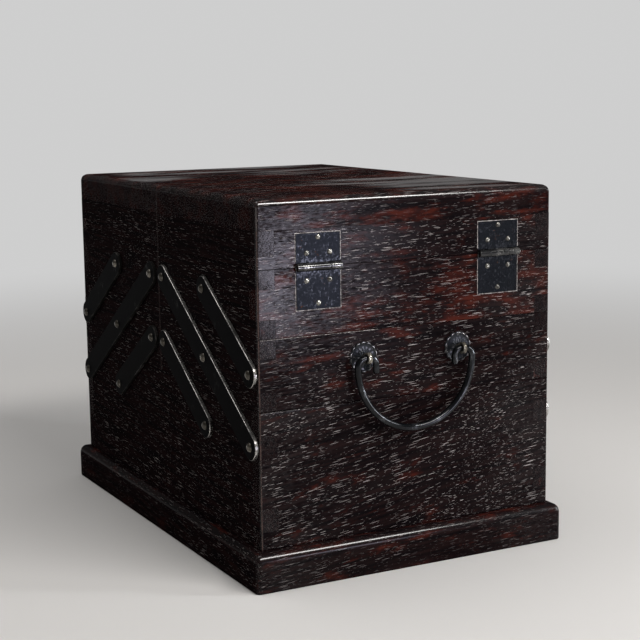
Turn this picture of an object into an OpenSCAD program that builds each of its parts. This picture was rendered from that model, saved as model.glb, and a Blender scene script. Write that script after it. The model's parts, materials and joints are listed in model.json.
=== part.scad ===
// Expanding box: a bottom box on a plinth, with a front half and a rear half above it.
// Each half is a middle tray, a top tray and a lid that hinges on the tray.
// Flat arms on both ends carry the trays, which swing out and stay level.
// +Z is up and the handle faces look along -Y and +Y. The origin is the middle of the foot.

/* [Body] */
// Outside width of the body, along a handle face
body_w = 210; // [190:1:240]
// Outside depth of the closed body, from one handle face to the other
body_d = 310; // [290:1:340]
// Thickness of the boards of the box, trays and lids
wall = 11.5; // [10:0.5:14]

/* [Levels] */
// Height of the walls of the bottom box
box_h = 85; // [75:1:110]
// Height of a middle tray
mid_h = 43.5; // [42:0.5:50]
// Height of a top tray
top_h = 41.5; // [40:0.5:50]
// Height of the frame of a lid, without its top board
lid_frame_h = 23; // [21:0.5:30]
// Thickness of the top board of a lid
lid_board_t = 18.5; // [12:0.5:20]
// Radius of the rounded upper edges of a lid
lid_round = 4.5; // [2:0.5:8]
// Clearance between one level and the next
level_gap = 0.3; // [0.2:0.1:0.6]
// Gap between the front half and the rear half
seam_gap = 0.5; // [0.3:0.1:1]

/* [Plinth] */
// Height of the plinth
plinth_h = 24.5; // [18:0.5:32]
// How far the plinth stands out past the body
plinth_out = 7; // [5:0.5:10]
// How far the plinth reaches in past the walls, to carry the box floor
plinth_ledge = 8; // [5:0.5:14]
// Radius of the rounded upper edge of the plinth
plinth_round = 6; // [2:0.5:8]
// Radius of the plinth's upright corners
plinth_corner_r = 2.5; // [1:0.5:5]

/* [Floors] */
// Thickness of the floor of the bottom box
box_floor_t = 8; // [6:0.5:10]
// Thickness of the floor of a tray
tray_floor_t = 5; // [4:0.5:7]
// Height of a tray floor's underside above the tray's lower edge
floor_lift = 2.5; // [2:0.5:5]
// How far a tray floor reaches into the boards around it
groove_depth = 4; // [2:0.5:6]
// Clearance round a floor
floor_clearance = 0.2; // [0.1:0.05:0.4]

/* [Finger joints] */
// Height of an end board's fingers at the top and the foot of a tray
tray_finger_h = 11.5; // [9:0.5:14]
// Height of the lower finger on the long boards of a lid
lid_finger_h = 8; // [6:0.5:12]
// Height of each end board's finger in the bottom box
box_finger_h = 14; // [10:0.5:18]
// Distance from the foot of the box walls to the lower finger
box_finger_low = 11.5; // [8:0.5:16]
// Distance from the upper finger to the top of the box walls
box_finger_top = 14.5; // [10:0.5:18]

/* [Arms] */
// Width of an arm
arm_w = 16; // [12:0.5:18]
// Thickness of an arm
arm_t = 2.2; // [1.5:0.1:3]
// Clearance between an arm and the board that it swings over
arm_gap = 0.3; // [0.2:0.1:0.6]
// Height from one row of pivots to the next
link_rise = 44.2; // [42:0.2:48]
// Distance from an arm's end to the handle face, with the box closed
arm_edge_margin = 1.7; // [0.5:0.1:4]
// Distance from an arm's end to the middle of the box, with the box closed
arm_seam_margin = 2.9; // [1:0.1:6]

/* [Pivot pins] */
// Radius of a pivot pin
pin_r = 1.5; // [1:0.1:2]
// Radius of a pivot pin's domed head
pin_head_r = 3; // [2.5:0.1:4]
// Height of a pivot pin's domed head
pin_head_h = 1.8; // [1:0.1:2.4]
// How deep a pivot pin goes into its board
pin_depth = 8; // [5:0.5:9]
// Clearance round a pin in the piece that turns on it
running_gap = 0.1; // [0.05:0.01:0.15]
// Clearance round a pin, screw or pivot in the piece that holds it
fixed_gap = 0.05; // [0.02:0.01:0.08]

/* [Hinges] */
// Width of a hinge
hinge_w = 30; // [24:0.5:40]
// Distance from the side of the body to the middle of a hinge
hinge_inset = 40.5; // [30:0.5:55]
// Thickness of a hinge leaf
leaf_t = 1.1; // [0.8:0.1:1.4]
// How deep a leaf is let into the board behind it
leaf_recess = 0.8; // [0.2:0.1:1]
// Clearance round a leaf in its recess
leaf_clearance = 0.2; // [0.1:0.05:0.3]
// Distance from the lid leaf's upper edge to the top board
lid_leaf_margin = 2.7; // [2:0.1:5]
// Length of the tray leaf below the hinge pin
tray_leaf_h = 25.7; // [20:0.1:34]
// Outside radius of a hinge knuckle
knuckle_r = 2.3; // [2:0.1:3]
// Length of the middle knuckle
knuckle_mid = 13.6; // [8:0.2:18]
// Radius of the hinge pin
hinge_pin_r = 1.2; // [0.8:0.1:1.4]
// Gap between a knuckle and its neighbours
knuckle_gap = 0.25; // [0.15:0.05:0.4]
// How far each end of the hinge pin lies inside its knuckle
pin_inset = 0.4; // [0.2:0.1:1]

/* [Screws] */
// Radius of a hinge screw's shank
screw_r = 0.9; // [0.6:0.1:1.2]
// Radius of a hinge screw's domed head
screw_head_r = 1.7; // [1.4:0.1:2.2]
// Height of a hinge screw's domed head
screw_head_h = 0.8; // [0.4:0.1:1]
// How deep a hinge screw goes into its board
screw_depth = 7; // [4:0.5:9]
// Distance from the hinge's knuckles to the middles of the near screws
screw_reach = 6; // [5:0.5:8]
// Distance from the middle of a leaf to each of its near screws
screw_spread = 7.8; // [5:0.2:11]
// Distance from the upper edge of the lid leaf to the far screw's head
lid_screw_edge = 0.8; // [0.4:0.1:2]
// Distance from the lower edge of the tray leaf to the far screw's head
tray_screw_edge = 1.9; // [0.4:0.1:3]

/* [Handle] */
// Distance between the two eyes of a handle
eye_spacing = 68.4; // [56:0.2:84]
// Height of the eyes above the middle of the middle tray
eye_lift = 5.4; // [0:0.2:8]
// Distance from the handle face to the axis of the eyes
eye_out = 6; // [5.6:0.1:9]
// Radius of the bail's wire
bail_wire_r = 2.2; // [1.6:0.1:2.6]
// Clearance round the wire in an eye
eye_clearance = 0.4; // [0.2:0.1:0.6]
// Thickness of the strip that an eye is bent from
eye_t = 1.2; // [0.8:0.1:1.6]
// Width of the strip that an eye is bent from
eye_w = 2.6; // [2:0.1:3.4]
// Gap between an eye and the bends of the bail on either side of it
eye_side_gap = 0.4; // [0.2:0.1:1]
// Length of each leg of an eye, where it is turned over inside the board
leg_len = 8; // [5:0.5:10]
// Radius of the bail's bend between its side and the eye
shoulder_r = 5.4; // [4:0.2:8]
// Radius of the bend at the tail of the bail
tail_r = 4; // [3:0.2:6]
// Length of the straight tail of the bail
tail_len = 4; // [2:0.5:8]
// Radius of a rosette, over its petals
rosette_r = 10; // [8:0.2:12]
// Thickness of a rosette
rosette_t = 1.1; // [0.8:0.1:1.6]
// Number of petals round a rosette
petals = 14; // [8:1:18]
// How far neighbouring petals run into each other: 1 is where they only touch
petal_overlap = 1.15; // [1.05:0.05:1.3]

/* [Hidden] */
$fn = 48;
cut = 1; // how far a cutter runs past what it cuts

// levels
box_top = plinth_h + box_h;
mid_z = box_top + level_gap;
mid_top = box_top + mid_h;
top_z = mid_top + level_gap;
top_top = mid_top + top_h;
lid_z = top_top + level_gap;
lid_board_z = top_top + lid_frame_h;
mid_tray_h = mid_top - mid_z;
top_tray_h = top_top - top_z;
lid_h = lid_board_z - lid_z;

// plan
half_w = body_w / 2;
face_y = -body_d / 2;
half_d = body_d / 2 - seam_gap / 2;
inner_w = body_w - 2 * wall;
inner_d = half_d - 2 * wall;
foot_x = half_w + plinth_out;
foot_y = body_d / 2 + plinth_out;
rail_w = plinth_out + wall + plinth_ledge;

// fingers of the end boards, each as [lower edge, upper edge] above the board's foot
box_fingers = [
    [box_finger_low, box_finger_low + box_finger_h],
    [box_h - box_finger_top - box_finger_h, box_h - box_finger_top]
];
function tray_fingers(h) = [[0, tray_finger_h], [h - tray_finger_h, h]];
lid_fingers = [[lid_finger_h, lid_h]];

// pivots: columns run from the handle face inwards, rows from the box upwards
pivot_edge = arm_w / 2 + arm_edge_margin;
pivot_seam = arm_w / 2 + arm_seam_margin;
link_run = (body_d / 2 - pivot_edge - pivot_seam) / 2;
link_len = sqrt(pow(link_run, 2) + pow(link_rise, 2));
link_angle = atan2(link_rise, link_run);
mid_row_z = box_top + mid_h / 2;
function pivot(column, row) =
    [face_y + pivot_edge + column * link_run, mid_row_z + (row - 1) * link_rise];
box_pivots = [pivot(0, 0), pivot(1, 0)];
mid_pivots = [pivot(0, 1), pivot(1, 1), pivot(2, 1)];
top_pivots = [pivot(1, 2), pivot(2, 2)];

// hinges
hinge_xs = [-half_w + hinge_inset, half_w - hinge_inset];
hinge_z = top_top + level_gap / 2;
leaf_back = face_y + leaf_recess;
leaf_out = leaf_t - leaf_recess;
hinge_y = leaf_back - knuckle_r;
lid_leaf_top = lid_board_z - lid_leaf_margin;
tray_leaf_foot = hinge_z - tray_leaf_h;
screw_near = knuckle_r + screw_reach;

lid_screw_places = [
    [0, lid_leaf_top - lid_screw_edge - screw_head_r],
    [-screw_spread, hinge_z + screw_near],
    [screw_spread, hinge_z + screw_near]
];
tray_screw_places = [
    [0, tray_leaf_foot + tray_screw_edge + screw_head_r],
    [-screw_spread, hinge_z - screw_near],
    [screw_spread, hinge_z - screw_near]
];

// handle
eye_x = eye_spacing / 2;
eye_y = face_y - eye_out;
eye_z = mid_row_z + eye_lift;
eye_bore_r = bail_wire_r + eye_clearance;
eye_outer_r = eye_bore_r + eye_t;
eye_half = eye_w / 2 + eye_side_gap;
shank_t = 2 * eye_t;
shank_hole_r = sqrt(pow(eye_w / 2, 2) + pow(shank_t / 2, 2)) + fixed_gap;
bail_r = eye_x + eye_half + shoulder_r;
petal_r = rosette_r * sin(180 / petals) * petal_overlap;

wood = "#2b1a17";
wood_red = "#3a1f1a";
iron = "#2a2c30";
brass = "#9a8250";

// Each half is drawn at the front. The rear half is the same, turned about the vertical.
module rear() {
    rotate([0, 0, 180]) children();
}

// What is drawn for the right end, and its mirror image for the left end.
module both_ends() {
    children();
    mirror([1, 0, 0]) children();
}

// Draws on the right end of the body: x runs along the depth, y runs up and z runs outwards.
module on_end() {
    translate([half_w + arm_gap, 0, 0]) rotate([90, 0, 90]) children();
}

// A bar along X, such as a pin, centred on the origin.
module bar(r, length) {
    rotate([0, 90, 0]) cylinder(r = r, h = length, center = true);
}

// A domed head that rises h above the origin and is r in radius at its foot.
module dome(r, h) {
    ball = (r * r + h * h) / (2 * h);
    intersection() {
        translate([0, 0, h - ball]) sphere(ball);
        translate([-r - cut, -r - cut, 0]) cube([2 * r + 2 * cut, 2 * r + 2 * cut, h + cut]);
    }
}

// Boards and floors

// The notches in both ends of a long board, where the end boards' fingers pass.
module notches(h, fingers) {
    for (side = [-1, 1], finger = fingers) {
        low = finger[0] <= 0 ? -cut : finger[0];
        high = finger[1] >= h ? h + cut : finger[1];
        translate([side > 0 ? half_w - wall : -half_w - cut, -cut, low])
            cube([wall + cut, wall + 2 * cut, high - low]);
    }
}

// A board along the width, standing on z = 0 with its outer face at y = 0.
module long_board(h, fingers) {
    difference() {
        translate([-half_w, 0, 0]) cube([body_w, wall, h]);
        notches(h, fingers);
    }
}

// The board at the right end of a frame that runs from y = 0 to y = depth.
module end_board(depth, h, fingers) {
    translate([half_w - wall, wall, 0]) cube([wall, depth - 2 * wall, h]);
    for (finger = fingers)
        translate([half_w - wall, 0, finger[0]]) cube([wall, depth, finger[1] - finger[0]]);
}

// The floor of a tray that stands on z = 0, with its outer face at y = 0, grown by a margin.
module tray_floor(margin = 0) {
    reach = groove_depth - floor_clearance + margin;
    translate([-inner_w / 2 - reach, wall - reach, floor_lift - margin])
        cube([inner_w + 2 * reach, inner_d + 2 * reach, tray_floor_t + 2 * margin]);
}

// The holes for pivot pins in both ends of the body.
module pin_holes(pivots) {
    both_ends() on_end()
        for (p = pivots) translate([p[0], p[1], -arm_gap - pin_depth - fixed_gap])
            cylinder(r = pin_r + fixed_gap, h = pin_depth + fixed_gap + cut);
}

// The pivot pins in both ends of the body.
module pins(pivots) {
    color(brass) both_ends() on_end()
        for (p = pivots) translate([p[0], p[1], 0]) {
            translate([0, 0, -arm_gap - pin_depth])
                cylinder(r = pin_r, h = pin_depth + arm_gap + arm_t + running_gap);
            translate([0, 0, arm_t + running_gap]) dome(pin_head_r, pin_head_h);
        }
}

module tray_outer(z, h, pivots) {
    difference() {
        translate([0, face_y, z]) difference() {
            long_board(h, tray_fingers(h));
            tray_floor(floor_clearance);
        }
        pin_holes(pivots);
    }
}

module tray_inner(z, h, pivots) {
    difference() {
        translate([0, face_y, z]) difference() {
            translate([0, half_d - wall, 0]) long_board(h, tray_fingers(h));
            tray_floor(floor_clearance);
        }
        pin_holes(pivots);
    }
}

module tray_ends(z, h, pivots) {
    color(wood) difference() {
        translate([0, face_y, z]) difference() {
            both_ends() end_board(half_d, h, tray_fingers(h));
            tray_floor(floor_clearance);
        }
        pin_holes(pivots);
    }
}

// Plinth and bottom box

// A plinth rail along X, half_l to each side, with its outer face at y = -out.
module rail(half_l, out) {
    r = plinth_corner_r;
    color(wood_red) intersection() {
        rotate([90, 0, 90]) linear_extrude(2 * half_l, center = true) union() {
            translate([-out, 0]) square([rail_w, plinth_h - plinth_round]);
            translate([-out + plinth_round, 0]) square([rail_w - plinth_round, plinth_h]);
            translate([-out + plinth_round, plinth_h - plinth_round]) circle(plinth_round);
        }
        translate([0, 0, -cut]) linear_extrude(plinth_h + 2 * cut) polygon([
            [-half_l, -out], [half_l, -out],
            [half_l - rail_w, -out + rail_w], [-half_l + rail_w, -out + rail_w]
        ]);
        translate([0, 0, -cut]) linear_extrude(plinth_h + 2 * cut) union() {
            translate([-half_l, -out + r]) square([2 * half_l, rail_w]);
            translate([-half_l + r, -out]) square([2 * half_l - 2 * r, rail_w]);
            for (side = [-1, 1]) translate([side * (half_l - r), -out + r]) circle(r);
        }
    }
}

module plinth_front() {
    rail(foot_x, foot_y);
}

module plinth_rear() {
    rotate([0, 0, 180]) rail(foot_x, foot_y);
}

module plinth_left() {
    rotate([0, 0, -90]) rail(foot_y, foot_x);
}

module plinth_right() {
    rotate([0, 0, 90]) rail(foot_y, foot_x);
}

module box_front() {
    color(wood_red) difference() {
        translate([0, face_y, plinth_h]) long_board(box_h, box_fingers);
        pin_holes(box_pivots);
    }
}

module box_rear() {
    rear() box_front();
}

module box_ends() {
    color(wood) difference() {
        both_ends() translate([0, face_y, plinth_h]) end_board(body_d, box_h, box_fingers);
        pin_holes(box_pivots);
        rear() pin_holes(box_pivots);
    }
}

module box_floor() {
    floor_w = inner_w - 2 * floor_clearance;
    floor_d = body_d - 2 * wall - 2 * floor_clearance;
    color(wood) translate([-floor_w / 2, -floor_d / 2, plinth_h])
        cube([floor_w, floor_d, box_floor_t]);
}

module box_pins() {
    pins(box_pivots);
    rear() pins(box_pivots);
}

// Middle tray

module mid_outer() {
    color(wood_red) difference() {
        tray_outer(mid_z, mid_tray_h, mid_pivots);
        for (side = [-1, 1]) translate([side * eye_x, face_y - cut, eye_z])
            rotate([-90, 0, 0]) cylinder(r = shank_hole_r, h = wall + 2 * cut);
    }
}

module mid_inner() {
    color(wood) tray_inner(mid_z, mid_tray_h, mid_pivots);
}

module mid_ends() {
    tray_ends(mid_z, mid_tray_h, mid_pivots);
}

module mid_floor() {
    color(wood) translate([0, face_y, mid_z]) tray_floor();
}

module mid_pins() {
    pins(mid_pivots);
}

// Top tray

module top_outer() {
    color(wood_red) difference() {
        tray_outer(top_z, top_tray_h, top_pivots);
        leaf_recesses(tray_leaf_foot, hinge_z);
        screw_holes(tray_screw_places);
    }
}

module top_inner() {
    color(wood) tray_inner(top_z, top_tray_h, top_pivots);
}

module top_ends() {
    tray_ends(top_z, top_tray_h, top_pivots);
}

module top_floor() {
    color(wood) translate([0, face_y, top_z]) tray_floor();
}

module top_pins() {
    pins(top_pivots);
}

// Lid

// A rectangle that stands on the x axis, from left to right, with its upper corners rounded.
module rounded_top(left, right, h, r_left, r_right) {
    flat_left = left + r_left;
    flat_right = right - r_right;
    translate([flat_left, 0]) square([flat_right - flat_left, h]);
    if (r_left > 0) {
        translate([left, 0]) square([r_left, h - r_left]);
        translate([flat_left, h - r_left]) circle(r_left);
    }
    if (r_right > 0) {
        translate([flat_right, 0]) square([r_right, h - r_right]);
        translate([flat_right, h - r_right]) circle(r_right);
    }
}

module lid_board() {
    color(wood_red) translate([0, 0, lid_board_z]) intersection() {
        translate([0, face_y, 0]) rotate([90, 0, 180]) linear_extrude(half_d)
            rounded_top(-half_w, half_w, lid_board_t, lid_round, lid_round);
        rotate([90, 0, 90]) linear_extrude(body_w, center = true)
            rounded_top(face_y, face_y + half_d, lid_board_t, lid_round, 0);
    }
}

module lid_outer() {
    color(wood_red) difference() {
        translate([0, face_y, lid_z]) long_board(lid_h, lid_fingers);
        leaf_recesses(hinge_z, lid_leaf_top);
        screw_holes(lid_screw_places);
    }
}

module lid_inner() {
    color(wood) translate([0, face_y + half_d - wall, lid_z]) long_board(lid_h, lid_fingers);
}

module lid_ends() {
    color(wood) both_ends() translate([0, face_y, lid_z]) end_board(half_d, lid_h, lid_fingers);
}

// Arms

// A flat arm through count pivots, of which the first is at the given column and row.
module arm(column, row, count) {
    length = (count - 1) * link_len;
    start = pivot(column, row);
    translate([start[0], start[1], 0]) rotate([0, 0, link_angle]) linear_extrude(arm_t)
        difference() {
            union() {
                translate([0, -arm_w / 2]) square([length, arm_w]);
                circle(arm_w / 2);
                translate([length, 0]) circle(arm_w / 2);
            }
            for (i = [0 : count - 1]) translate([i * link_len, 0]) circle(pin_r + running_gap);
        }
}

module long_arms() {
    color(iron) both_ends() on_end() arm(0, 0, 3);
}

module lower_arms() {
    color(iron) both_ends() on_end() arm(1, 0, 2);
}

module upper_arms() {
    color(iron) both_ends() on_end() arm(0, 1, 2);
}

// Hinges

// Puts what is drawn along +Z at each screw of both hinges, pointing out of the handle face.
module at_screws(places) {
    for (x = hinge_xs, p = places)
        translate([x + p[0], face_y, p[1]]) rotate([90, 0, 0]) children();
}

module screw_holes(places) {
    at_screws(places) translate([0, 0, -screw_depth - fixed_gap])
        cylinder(r = screw_r + fixed_gap, h = screw_depth + fixed_gap + leaf_out + cut);
}

module screws(places) {
    color(brass) at_screws(places) {
        translate([0, 0, -screw_depth]) cylinder(r = screw_r, h = screw_depth + leaf_out);
        translate([0, 0, leaf_out]) dome(screw_head_r, screw_head_h);
    }
}

// A bar round the axis of each hinge, between two distances from the hinge's middle.
module on_hinge(r, from, to) {
    for (x = hinge_xs)
        translate([x + (from + to) / 2, hinge_y, hinge_z]) bar(r, to - from);
}

// The flat plate of each hinge between two heights.
module leaf_plates(low, high) {
    for (x = hinge_xs)
        translate([x - hinge_w / 2, leaf_back - leaf_t, low]) cube([hinge_w, leaf_t, high - low]);
}

// The recesses in a board for the leaves between two heights, and for the knuckles.
module leaf_recesses(low, high) {
    reach = hinge_w / 2 + leaf_clearance;
    for (x = hinge_xs)
        translate([x - reach, face_y - cut, low - leaf_clearance])
            cube([2 * reach, leaf_recess + cut, high - low + 2 * leaf_clearance]);
    on_hinge(knuckle_r + knuckle_gap, -reach, reach);
}

module lid_leaves() {
    color(iron) difference() {
        union() {
            difference() {
                leaf_plates(hinge_z, lid_leaf_top);
                on_hinge(knuckle_r + knuckle_gap, -hinge_w / 2 - cut, -knuckle_mid / 2);
                on_hinge(knuckle_r + knuckle_gap, knuckle_mid / 2, hinge_w / 2 + cut);
            }
            on_hinge(knuckle_r, -knuckle_mid / 2, knuckle_mid / 2);
        }
        on_hinge(hinge_pin_r + running_gap, -hinge_w, hinge_w);
        screw_holes(lid_screw_places);
    }
}

module tray_leaves() {
    inner_end = knuckle_mid / 2 + knuckle_gap;
    color(iron) difference() {
        union() {
            difference() {
                leaf_plates(tray_leaf_foot, hinge_z);
                on_hinge(knuckle_r + knuckle_gap, -inner_end, inner_end);
            }
            on_hinge(knuckle_r, -hinge_w / 2, -inner_end);
            on_hinge(knuckle_r, inner_end, hinge_w / 2);
        }
        on_hinge(hinge_pin_r + fixed_gap, -hinge_w, hinge_w);
        screw_holes(tray_screw_places);
    }
}

module hinge_pins() {
    color(iron) on_hinge(hinge_pin_r, -hinge_w / 2 + pin_inset, hinge_w / 2 - pin_inset);
}

module lid_screws() {
    screws(lid_screw_places);
}

module tray_screws() {
    screws(tray_screw_places);
}

// Handle

// Part of a ring of wire in the plane of the bail, round the point [x, z] from its eyes' axis.
module wire_arc(x, z, r, from, sweep) {
    translate([x, 0, z]) rotate([90, 0, 0]) rotate([0, 0, from])
        rotate_extrude(angle = sweep) translate([r, 0]) circle(bail_wire_r);
}

// The right half of the bail above its half ring: the bend, the wire in the eye and the tail.
module bail_end() {
    wire_arc(eye_x + eye_half, -shoulder_r, shoulder_r, 0, 90);
    translate([eye_x, 0, 0]) bar(bail_wire_r, 2 * eye_half);
    wire_arc(eye_x - eye_half, -tail_r, tail_r, 90, 90);
    translate([eye_x - eye_half - tail_r, 0, -tail_r - tail_len]) {
        cylinder(r = bail_wire_r, h = tail_len);
        sphere(bail_wire_r);
    }
}

module bail() {
    color(iron) translate([0, eye_y, eye_z]) {
        wire_arc(0, -shoulder_r, bail_r, 180, 180);
        both_ends() bail_end();
    }
}

// An eye bent from a strip, with its two legs through the board and turned over inside.
module eye() {
    difference() {
        union() {
            bar(eye_outer_r, eye_w);
            translate([-eye_w / 2, 0, -shank_t / 2]) cube([eye_w, eye_out + wall + eye_t, shank_t]);
        }
        bar(eye_bore_r, eye_w + 2 * cut);
    }
    translate([-eye_w / 2, eye_out + wall, -leg_len]) cube([eye_w, eye_t, 2 * leg_len]);
}

module eyes() {
    color(brass) for (side = [-1, 1]) translate([side * eye_x, eye_y, eye_z]) eye();
}

module rosette() {
    difference() {
        union() {
            cylinder(r = rosette_r - petal_r, h = rosette_t);
            for (i = [0 : petals - 1]) rotate([0, 0, i * 360 / petals])
                translate([rosette_r - petal_r, 0, 0]) cylinder(r = petal_r, h = rosette_t);
        }
        translate([0, 0, -cut]) cylinder(r = shank_hole_r, h = rosette_t + 2 * cut);
    }
}

module rosettes() {
    color(iron) for (side = [-1, 1])
        translate([side * eye_x, face_y, eye_z]) rotate([90, 0, 0]) rosette();
}

plinth_front();
plinth_rear();
plinth_left();
plinth_right();
box_front();
box_rear();
box_ends();
box_floor();
box_pins();

mid_outer();  // front_mid_outer
mid_inner();  // front_mid_inner
mid_ends();  // front_mid_ends
mid_floor();  // front_mid_floor
mid_pins();  // front_mid_pins
top_outer();  // front_top_outer
top_inner();  // front_top_inner
top_ends();  // front_top_ends
top_floor();  // front_top_floor
top_pins();  // front_top_pins
lid_board();  // front_lid_board
lid_outer();  // front_lid_outer
lid_inner();  // front_lid_inner
lid_ends();  // front_lid_ends
long_arms();  // front_long_arms
lower_arms();  // front_lower_arms
upper_arms();  // front_upper_arms
lid_leaves();  // front_lid_leaves
tray_leaves();  // front_tray_leaves
hinge_pins();  // front_hinge_pins
lid_screws();  // front_lid_screws
tray_screws();  // front_tray_screws
bail();  // front_bail
eyes();  // front_eyes
rosettes();  // front_rosettes

rear() mid_outer();  // rear_mid_outer
rear() mid_inner();  // rear_mid_inner
rear() mid_ends();  // rear_mid_ends
rear() mid_floor();  // rear_mid_floor
rear() mid_pins();  // rear_mid_pins
rear() top_outer();  // rear_top_outer
rear() top_inner();  // rear_top_inner
rear() top_ends();  // rear_top_ends
rear() top_floor();  // rear_top_floor
rear() top_pins();  // rear_top_pins
rear() lid_board();  // rear_lid_board
rear() lid_outer();  // rear_lid_outer
rear() lid_inner();  // rear_lid_inner
rear() lid_ends();  // rear_lid_ends
rear() long_arms();  // rear_long_arms
rear() lower_arms();  // rear_lower_arms
rear() upper_arms();  // rear_upper_arms
rear() lid_leaves();  // rear_lid_leaves
rear() tray_leaves();  // rear_tray_leaves
rear() hinge_pins();  // rear_hinge_pins
rear() lid_screws();  // rear_lid_screws
rear() tray_screws();  // rear_tray_screws
rear() bail();  // rear_bail
rear() eyes();  // rear_eyes
rear() rosettes();  // rear_rosettes
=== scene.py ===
# %% [markdown]
# # An expanding box in dark hardwood
# This lesson dresses a box that opens to both sides. Its boards, trays, arms, hinges and handles
# come as a fixed frame of solids in metres, whose bodies can move. The lesson adds what the solids
# lack: softened edges, grain that runs through each board, polish, wear, iron and brass.

import json
import math
import random

import bmesh
import bpy
from mathutils import Matrix, Vector


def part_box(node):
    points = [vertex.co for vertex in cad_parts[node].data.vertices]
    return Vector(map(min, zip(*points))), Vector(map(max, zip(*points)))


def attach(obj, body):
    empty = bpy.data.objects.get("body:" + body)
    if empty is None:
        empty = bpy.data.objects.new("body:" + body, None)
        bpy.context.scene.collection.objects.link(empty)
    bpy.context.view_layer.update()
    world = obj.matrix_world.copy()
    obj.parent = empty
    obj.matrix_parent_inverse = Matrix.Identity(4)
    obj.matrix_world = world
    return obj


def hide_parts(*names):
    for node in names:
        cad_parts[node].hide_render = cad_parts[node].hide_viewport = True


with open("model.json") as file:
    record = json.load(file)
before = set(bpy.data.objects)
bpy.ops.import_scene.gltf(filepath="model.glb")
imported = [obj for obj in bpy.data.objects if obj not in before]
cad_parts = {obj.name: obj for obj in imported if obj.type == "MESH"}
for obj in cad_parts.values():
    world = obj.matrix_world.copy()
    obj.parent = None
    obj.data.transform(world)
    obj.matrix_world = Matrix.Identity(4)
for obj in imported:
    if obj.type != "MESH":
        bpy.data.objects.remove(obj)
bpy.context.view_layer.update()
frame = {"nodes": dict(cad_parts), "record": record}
MM = 0.001

# %% [markdown]
# The pieces of the front and the rear half have the same names apart from their first word, so most
# steps loop over the two words. A few measures that many steps need are read off the frame once:
# where the faces of the body are, and where the seam between the halves is.

# %% Read the main measures off the frame
HALVES = ("front", "rear")
BODY_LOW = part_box("box_front")[0]
FACE_Y = abs(BODY_LOW.y)
SIDE_X = abs(BODY_LOW.x)
SEAM_Y = abs(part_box("front_mid_inner")[1].y)
BOARD_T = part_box("box_front")[1].y - BODY_LOW.y
print(f"body {2 * SIDE_X / MM:.1f} by {2 * FACE_Y / MM:.1f} mm, boards {BOARD_T / MM:.1f} mm thick")

# %% [markdown]
# ## Shader maths that reads as maths
# A wood finish is a long sum: a warped position, stretched along the grain, fed to noises whose
# values are scaled, limited and mixed. Written node by node, that sum disappears. A small class
# wraps an output socket instead and overloads the operators, so `1 - mask` adds a Math node by
# itself. Every other node comes from one method, which sets the node's options first and then its
# inputs.

# %% A socket that can be added and multiplied
class Signal:
    def __init__(self, graph, socket):
        self.graph = graph
        self.socket = socket

    def output(self, name):
        """Another output of the same node."""
        return Signal(self.graph, self.socket.node.outputs[name])

    def maths(self, operation, first, second):
        return self.graph.add("Math", {"operation": operation}, first, second)

    def __add__(self, other):
        return self.maths("ADD", self, other)

    def __radd__(self, other):
        return self.maths("ADD", other, self)

    def __sub__(self, other):
        return self.maths("SUBTRACT", self, other)

    def __rsub__(self, other):
        return self.maths("SUBTRACT", other, self)

    def __mul__(self, other):
        return self.maths("MULTIPLY", self, other)

    def __rmul__(self, other):
        return self.maths("MULTIPLY", other, self)

    def least(self, other):
        return self.maths("MINIMUM", self, other)

    def most(self, other):
        return self.maths("MAXIMUM", self, other)

    def ramp(self, low, high):
        """0 up to low, 1 from high, and smooth between them. With low above high it falls."""
        settings = {"interpolation_type": "SMOOTHSTEP"}
        if low < high:
            return self.graph.add("MapRange", settings, self, low, high, 0.0, 1.0)
        return self.graph.add("MapRange", settings, self, high, low, 1.0, 0.0)

    def lifted(self, low):
        """The same signal, squeezed from 0..1 into low..1."""
        return low + (1 - low) * self


# %% A node tree that hands out signals
MIX_FIRST, MIX_SECOND, MIX_RESULT = 6, 7, 2  # a Mix node's colour sockets, whose names others share


class Graph:
    def __init__(self, tree):
        self.tree = tree

    def feed(self, socket, value):
        """Links a signal to a socket, or sets the socket to a plain value."""
        if isinstance(value, Signal):
            self.tree.links.new(value.socket, socket)
        else:
            socket.default_value = value

    def add(self, kind, settings=None, *values, output=0, **named):
        node = self.tree.nodes.new("ShaderNode" + kind)
        for option, value in (settings or {}).items():
            setattr(node, option, value)
        for key, value in [*enumerate(values), *named.items()]:
            self.feed(node.inputs[key if isinstance(key, int) else key.replace("_", " ")], value)
        return Signal(self, node.outputs[output])

    def measure(self, name, output="Vector"):
        """A measure that is stored on the mesh, as a Vector or as a number (Fac)."""
        return self.add("Attribute", {"attribute_name": name}, output=output)

    def ray(self, kind):
        """1 for what rays of this kind meet, such as Camera or Glossy, and 0 for other rays."""
        return self.add("LightPath", output=f"Is {kind} Ray")

    def vectors(self, operation, *values, output="Vector"):
        return self.add("VectorMath", {"operation": operation}, *values, output=output)

    def stretch(self, vector, x, y, z):
        return self.vectors("MULTIPLY", vector, (x, y, z))

    def parts(self, vector):
        x = self.add("SeparateXYZ", None, vector)
        return x, x.output("Y"), x.output("Z")

    def noise(self, vector, per_metre, detail=2.0, roughness=0.5, output="Fac"):
        return self.add("TexNoise", None, Vector=vector, Scale=per_metre, Detail=detail,
                        Roughness=roughness, output=output)

    def mix(self, amount, first, second):
        """A blend of two colours, each a signal or three numbers."""
        blend = self.add("Mix", {"data_type": "RGBA"}, amount, output=MIX_RESULT)
        for number, value in ((MIX_FIRST, first), (MIX_SECOND, second)):
            colour = value if isinstance(value, Signal) else (*value, 1.0)
            self.feed(blend.socket.node.inputs[number], colour)
        return blend


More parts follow.
